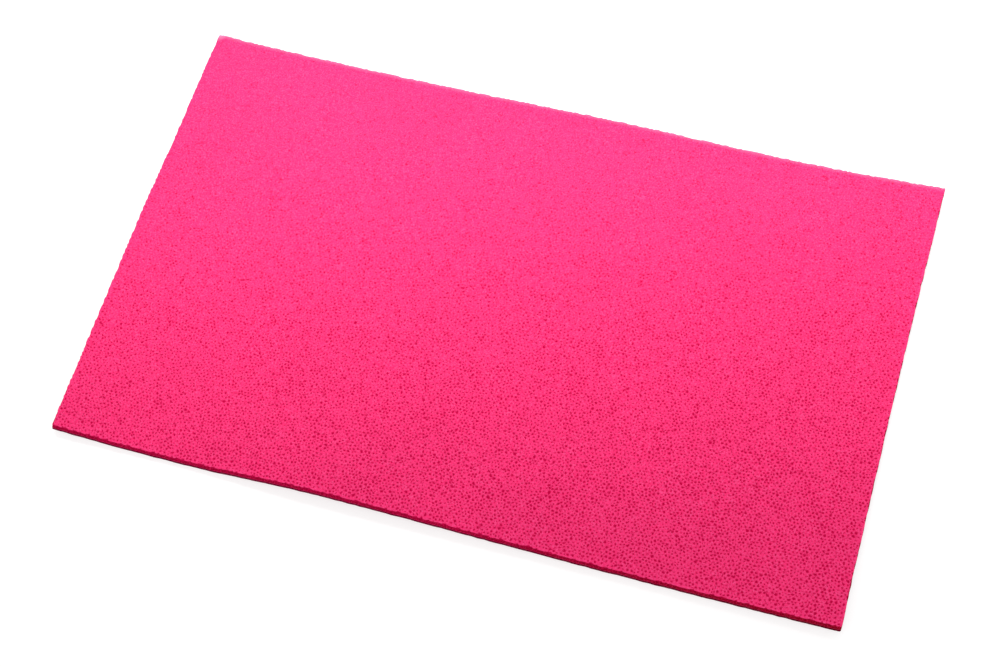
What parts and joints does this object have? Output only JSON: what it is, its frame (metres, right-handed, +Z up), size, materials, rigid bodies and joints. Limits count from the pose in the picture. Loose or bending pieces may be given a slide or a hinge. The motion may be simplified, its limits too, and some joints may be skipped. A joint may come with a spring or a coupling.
{
  "type": "nail buffer sheet",
  "caption": "Thin rectangular foam nail buffing sheet with a fine open-pored face, a soft foam core and a denser bonded base sheet, cut square on all sides.",
  "frame": {"origin": "middle of the underside, where the sheet rests on a table", "axes": "+X along the long side, +Y along the short side, +Z up through the thickness towards the buffing face"},
  "size_m": [0.14, 0.085, 0.0024],
  "materials": {
    "buffing_face": "matte",
    "foam_core": "matte",
    "bond_film": "satin",
    "base_sheet": "matte"
  },
  "bodies": {
    "root": {"buffing_face": "buffing_face", "foam_core": "foam_core", "bond_film": "bond_film", "base_sheet": "base_sheet"}
  },
  "joints": []
}
